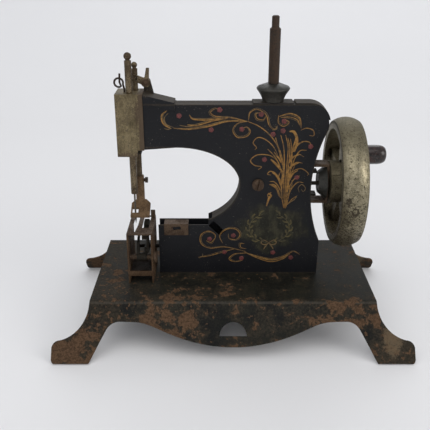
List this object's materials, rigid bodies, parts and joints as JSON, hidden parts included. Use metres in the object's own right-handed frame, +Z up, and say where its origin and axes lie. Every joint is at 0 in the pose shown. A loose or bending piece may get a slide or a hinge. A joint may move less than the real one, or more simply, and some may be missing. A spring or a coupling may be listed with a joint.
{
  "type": "toy sewing machine",
  "caption": "Hand-cranked toy sewing machine of folded sheet metal: arched base, flat C-shaped head, spoked side wheel with a knob, needle and presser bars, looper box and spool pin.",
  "frame": {"origin": "on the table, under the middle of the base", "axes": "+X towards the hand wheel, +Y away from the operator, +Z up"},
  "size_m": [0.182, 0.104, 0.1618],
  "materials": {
    "enamel": "worn black stove enamel",
    "base_enamel": "black enamel worn to brown steel",
    "nickel": "dulled nickel plate",
    "wheel_metal": "worn plated casting",
    "rusty_steel": "rusted steel",
    "steel": "dull steel",
    "knob_wood": "dark lacquered wood"
  },
  "bodies": {
    "frame": {"base_stand": "base_enamel", "head_front_panel": "enamel", "head_rear_panel": "enamel", "top_strap": "enamel", "corner_strip": "enamel", "nose_cover": "enamel", "face_cover": "nickel", "upper_bar_guide": "steel", "lower_bar_guide": "steel", "spool_flange": "steel", "spool_pin": "rusty_steel", "spool_nut": "steel", "pivot_screw": "steel", "pivot_nut": "steel", "bearing_bracket": "rusty_steel", "bracket_rivets": "steel", "shaft_bush": "steel", "bearing_bell": "enamel", "looper_box": "rusty_steel", "needle_plate": "rusty_steel", "looper_pivot_screw": "rusty_steel", "feed_guide": "rusty_steel", "bed_clip": "rusty_steel", "cloth_guide": "rusty_steel", "thread_guide": "rusty_steel", "lifter_rivet": "steel"},
    "wheel": {"hand_wheel": "wheel_metal", "main_shaft": "steel", "crank": "steel", "hub_screw": "steel", "knob_stud": "steel"},
    "knob": {"handle_knob": "knob_wood"},
    "rocker": {"rocker_lever": "steel", "rocker_hub": "steel", "looper_rod": "steel"},
    "needle_drive": {"needle_bar": "steel", "drive_collar": "steel", "needle": "steel", "needle_screw": "steel"},
    "presser": {"presser_bar": "steel", "presser_foot": "rusty_steel", "foot_screw": "steel", "presser_collar": "steel", "lift_pin": "steel", "presser_spring": "steel"},
    "looper_arm": {"looper": "steel"},
    "feed": {"feed_dog": "steel"},
    "lifter": {"lifter_lever": "steel"}
  },
  "joints": [
    {"name": "wheel_turn", "type": "hinge", "parent": "frame", "child": "wheel", "pos_m": [0.0516, -0.0015, 0.0788], "axis": [1, 0, 0], "continuous": true},
    {"name": "knob_turn", "type": "hinge", "parent": "wheel", "child": "knob", "pos_m": [0.0664, 0.02589, 0.08462], "axis": [1, 0, 0], "continuous": true},
    {"name": "rocker_swing", "type": "hinge", "parent": "frame", "child": "rocker", "pos_m": [0.013, -0.0015, 0.0788], "axis": [0, -1, 0], "range_deg": [-4.44, 4.44]},
    {"name": "needle_stroke", "type": "slide", "parent": "frame", "child": "needle_drive", "axis": [0, 0, -1], "range_m": [-0.00496, 0.00496]},
    {"name": "looper_swing", "type": "hinge", "parent": "frame", "child": "looper_arm", "pos_m": [-0.0462, -0.0137, 0.041], "axis": [-1, 0, 0], "range_deg": [-18.64, 18.64]},
    {"name": "feed_stroke", "type": "slide", "parent": "frame", "child": "feed", "axis": [0, 1, 0], "range_m": [-0.00154, 0.00154]},
    {"name": "lifter_throw", "type": "hinge", "parent": "frame", "child": "lifter", "pos_m": [-0.0432, 0.0008, 0.12995], "axis": [0, -1, 0], "range_deg": [0, 42]},
    {"name": "presser_drop", "type": "slide", "parent": "frame", "child": "presser", "axis": [0, 0, -1], "range_m": [0, 0.00429], "deforming": ["presser_spring"]}
  ],
  "couplings": [
    {"joint": "needle_stroke", "follows": "rocker_swing", "m_per_rad": 0.064},
    {"joint": "looper_swing", "follows": "rocker_swing", "ratio": 4.1984},
    {"joint": "feed_stroke", "follows": "rocker_swing", "m_per_rad": 0.019799},
    {"joint": "lifter_throw", "follows": "presser_drop", "rad_per_m": 170.5}
  ]
}
